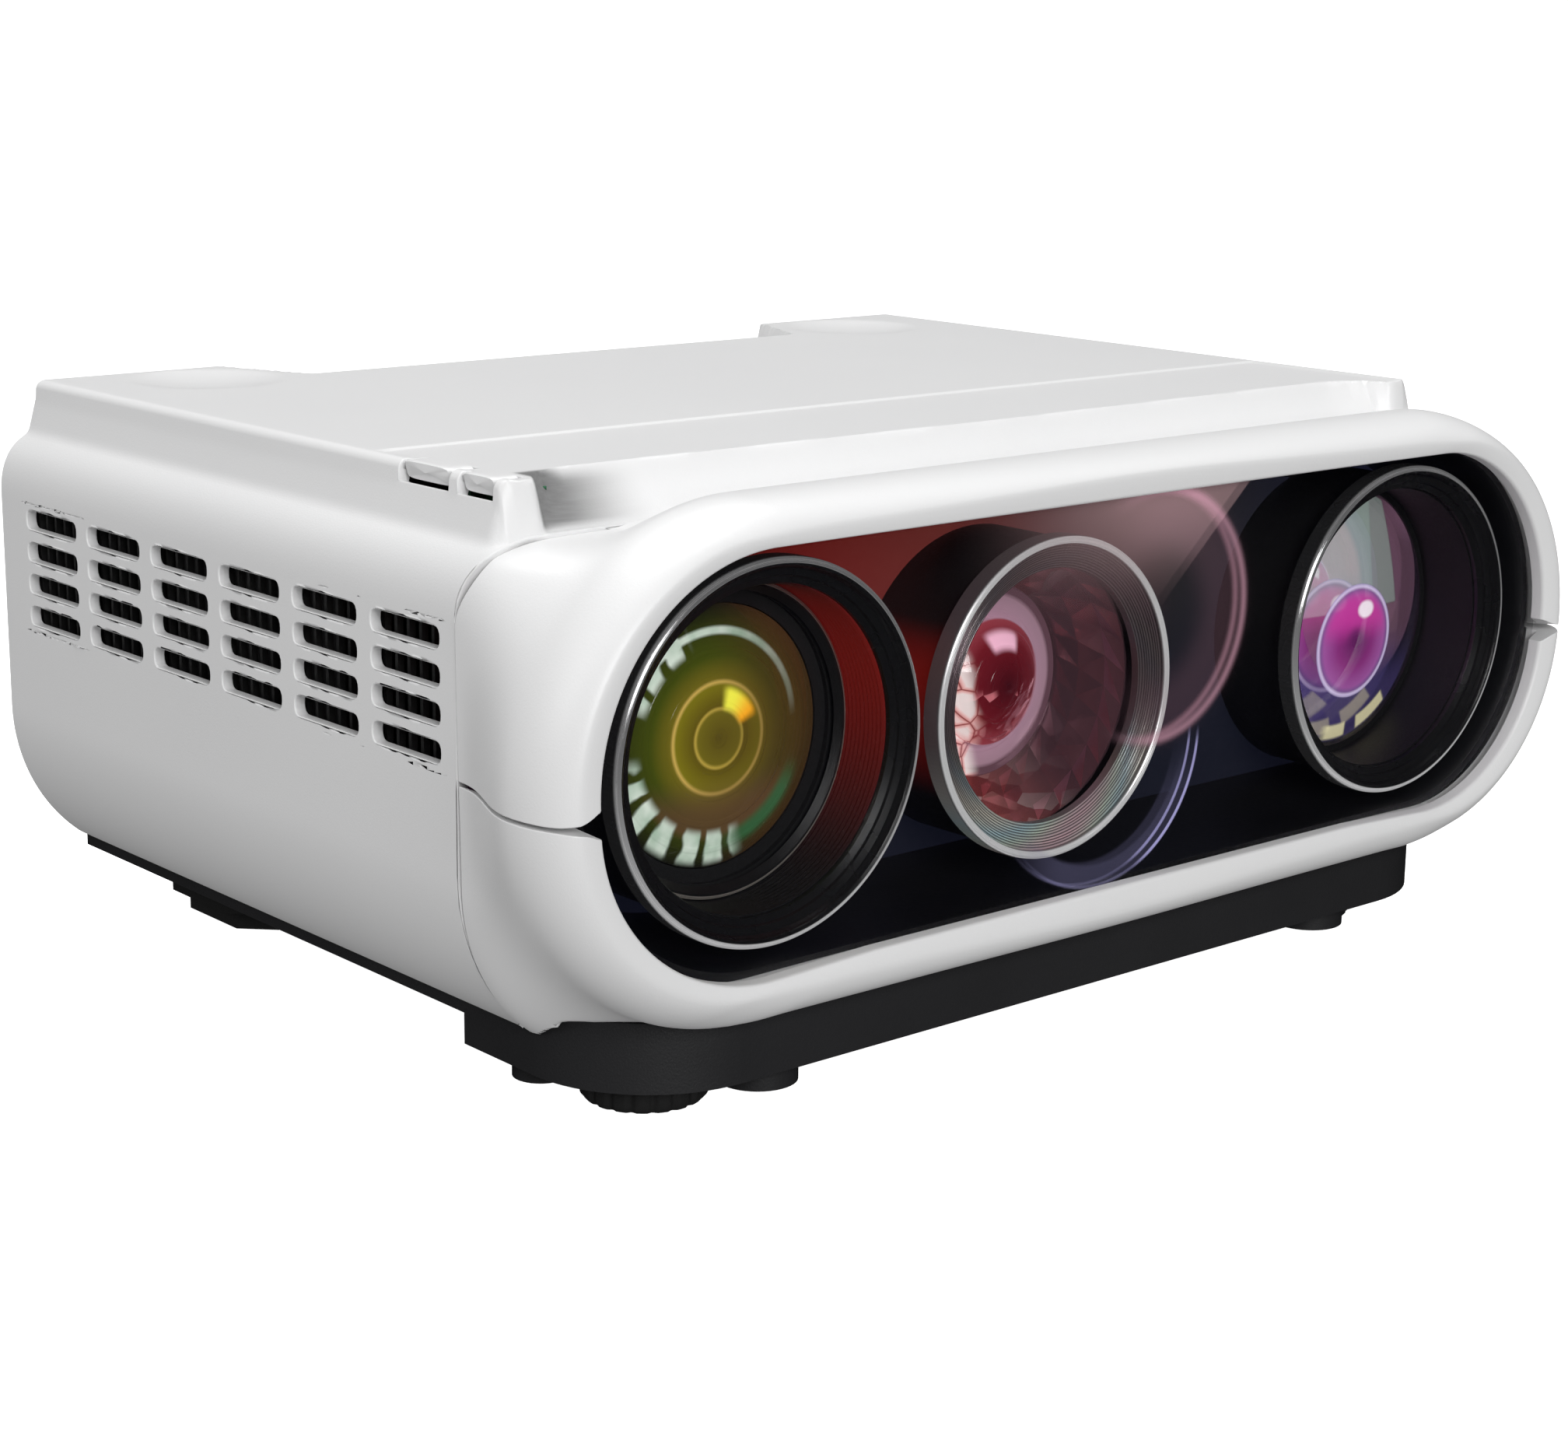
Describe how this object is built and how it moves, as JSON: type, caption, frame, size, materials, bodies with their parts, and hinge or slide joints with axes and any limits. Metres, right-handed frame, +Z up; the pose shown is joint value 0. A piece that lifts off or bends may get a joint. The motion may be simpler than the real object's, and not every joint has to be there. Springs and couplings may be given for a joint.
{
  "type": "home projector",
  "caption": "White home projector with a wide oval tinted front window over its lens barrels, side vents, black base tray and screw feet.",
  "frame": {"origin": "bottom centre of the whole projector, on the surface that it stands on", "axes": "+Z up, front window faces -Y, +X to the right seen from the front"},
  "size_m": [0.2526, 0.188, 0.107],
  "materials": {
    "white_shell": "satin moulded white",
    "tinted_window": "glossy coated smoke tint",
    "black_plastic": "fine grain black",
    "lens_black": "anodised black",
    "bright_metal": "turned bright",
    "black_rubber": "ribbed",
    "steel": "zinc plated",
    "brass": "turned",
    "circuit_board": "solder mask",
    "olive_glass": "gold-olive coated",
    "reflector_pink": "faceted, warm coated",
    "red_glass": "dark red coated",
    "clear_glass": "coated clear",
    "magenta_glass": "magenta coated",
    "silvered_mirror": "front silvered",
    "panel_glass": "dark picture panel",
    "fin_aluminium": "extruded",
    "switch_red": "gloss",
    "ir_filter": "deep red"
  },
  "bodies": {
    "projector": {"upper_casing": "white_shell", "bezel_upper": "white_shell", "bezel_lower": "white_shell", "front_window": "tinted_window", "inner_lining": "black_plastic", "lens_board": "black_plastic", "base_tray": "black_plastic", "rear_panel": "black_plastic", "dust_filter": "black_plastic", "exhaust_grille": "black_plastic", "case_screws": "steel", "rear_feet": "black_rubber", "tripod_insert": "brass", "key_board": "circuit_board", "projection_barrel": "lens_black", "projection_rim": "bright_metal", "focus_motor": "steel", "focus_bracket": "steel", "lamp_barrel": "lens_black", "lamp_ring": "bright_metal", "lamp_reflector": "reflector_pink", "lamp_lens": "red_glass", "right_barrel": "lens_black", "right_rim": "bright_metal", "right_outer_lens": "clear_glass", "right_inner_lens": "magenta_glass", "light_box": "black_plastic", "light_box_cover": "black_plastic", "fold_mirror": "silvered_mirror", "lcd_panel": "panel_glass", "fresnel_lenses": "clear_glass", "condenser_lens": "clear_glass", "led_module": "circuit_board", "heat_sink": "fin_aluminium", "exhaust_fan_frame": "black_plastic", "main_board": "circuit_board", "power_board": "circuit_board", "speaker_left": "black_plastic", "speaker_right": "black_plastic", "hdmi_sockets": "bright_metal", "usb_sockets": "bright_metal", "audio_jacks": "black_plastic", "power_inlet": "black_plastic", "switch_frame": "black_plastic", "ir_receiver": "ir_filter"},
    "left_foot": {"foot_screw_left": "steel"},
    "left_foot_disc": {"foot_disc_left": "black_rubber"},
    "right_foot": {"foot_screw_right": "steel"},
    "right_foot_disc": {"foot_disc_right": "black_rubber"},
    "focus_carriage": {"focus_cell": "lens_black", "front_element": "olive_glass", "rear_element": "olive_glass"},
    "focus_drive": {"focus_screw": "steel"},
    "fan_rotor": {"exhaust_impeller": "black_plastic"},
    "rocker": {"switch_rocker": "switch_red"},
    "power_button": {"power_key": "white_shell"},
    "source_button": {"source_key": "white_shell"}
  },
  "joints": [
    {"name": "left_foot_lift", "type": "slide", "parent": "projector", "child": "left_foot", "axis": [0, 0, -1], "range_m": [0, 0.01]},
    {"name": "left_foot_turn", "type": "hinge", "parent": "left_foot", "child": "left_foot_disc", "pos_m": [-0.084, -0.061, 0.0025], "axis": [0, 0, 1], "range_deg": [0, 3600]},
    {"name": "right_foot_lift", "type": "slide", "parent": "projector", "child": "right_foot", "axis": [0, 0, -1], "range_m": [0, 0.01]},
    {"name": "right_foot_turn", "type": "hinge", "parent": "right_foot", "child": "right_foot_disc", "pos_m": [0.084, -0.061, 0.0025], "axis": [0, 0, 1], "range_deg": [0, 3600]},
    {"name": "focus_turn", "type": "hinge", "parent": "projector", "child": "focus_drive", "pos_m": [-0.039, -0.034, 0.0628], "axis": [0, 1, 0], "range_deg": [-1080, 1080]},
    {"name": "focus_slide", "type": "slide", "parent": "projector", "child": "focus_carriage", "axis": [0, 1, 0], "range_m": [-0.003, 0.003]},
    {"name": "fan_spin", "type": "hinge", "parent": "projector", "child": "fan_rotor", "pos_m": [0.0765, 0.026, 0.0628], "axis": [1, 0, 0], "continuous": true},
    {"name": "rocker_tilt", "type": "hinge", "parent": "projector", "child": "rocker", "pos_m": [0.042, 0.0844, 0.07], "axis": [0, 0, 1], "range_deg": [0, 16]},
    {"name": "power_press", "type": "slide", "parent": "projector", "child": "power_button", "axis": [1, 0, 0], "range_m": [0, 0.0008], "stiffness_N_per_m": 500, "springref_m": -0.0004},
    {"name": "source_press", "type": "slide", "parent": "projector", "child": "source_button", "axis": [1, 0, 0], "range_m": [0, 0.0008], "stiffness_N_per_m": 500, "springref_m": -0.0004}
  ],
  "couplings": [
    {"joint": "left_foot_lift", "follows": "left_foot_turn", "m_per_rad": 0.00015915},
    {"joint": "right_foot_lift", "follows": "right_foot_turn", "m_per_rad": 0.00015915},
    {"joint": "focus_turn", "follows": "focus_slide", "rad_per_m": 6283.2}
  ]
}
